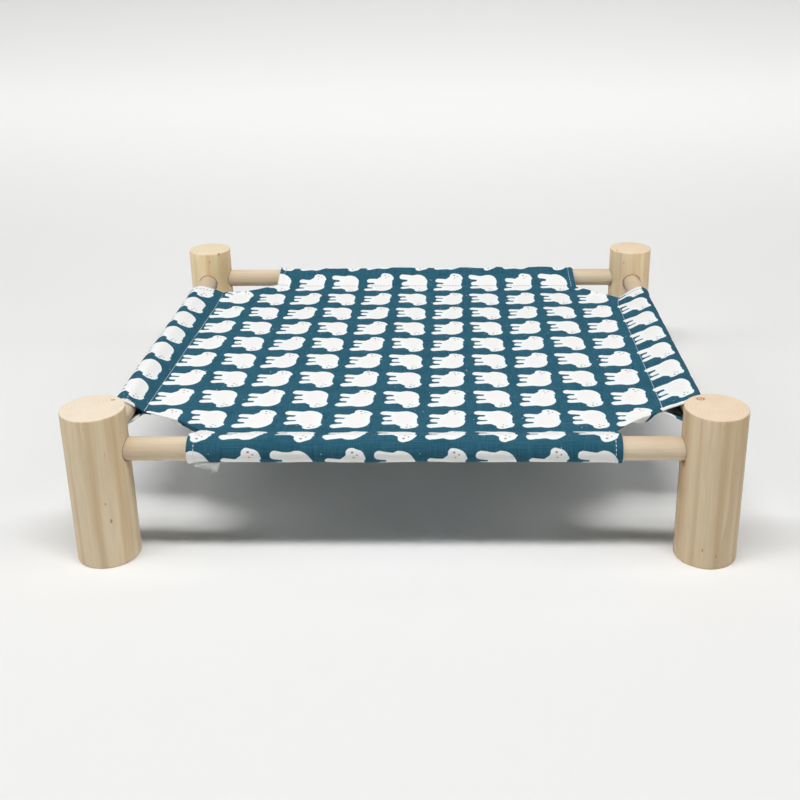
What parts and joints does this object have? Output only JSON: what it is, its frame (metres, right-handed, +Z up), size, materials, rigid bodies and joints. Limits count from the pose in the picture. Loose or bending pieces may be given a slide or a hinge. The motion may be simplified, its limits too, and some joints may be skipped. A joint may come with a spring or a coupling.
{
  "type": "raised pet hammock bed",
  "caption": "Low rectangular pet bed: round wooden posts in blind-hole joints with dowel rails, holding a taut printed cloth sling sewn into sleeves around the rails.",
  "frame": {"origin": "centre of the bed's footprint, on the floor", "axes": "+Z up, +X along the front rail to the right, +Y from the front edge to the back edge"},
  "size_m": [0.535, 0.474, 0.13],
  "materials": {
    "post_wood": "bare sanded pine, pale cream-tan, satin matt",
    "rail_wood": "bare turned hardwood dowel, light tan, satin matt",
    "sling_cloth": "plain-weave cotton canvas, petrol blue with an off-white animal print"
  },
  "bodies": {
    "root": {"post_front_left": "post_wood", "post_front_right": "post_wood", "post_back_left": "post_wood", "post_back_right": "post_wood", "rail_front": "rail_wood", "rail_back": "rail_wood", "rail_left": "rail_wood", "rail_right": "rail_wood", "sleeve_front": "sling_cloth", "sleeve_back": "sling_cloth", "sleeve_left": "sling_cloth", "sleeve_right": "sling_cloth", "sling_panel": "sling_cloth"}
  },
  "joints": []
}
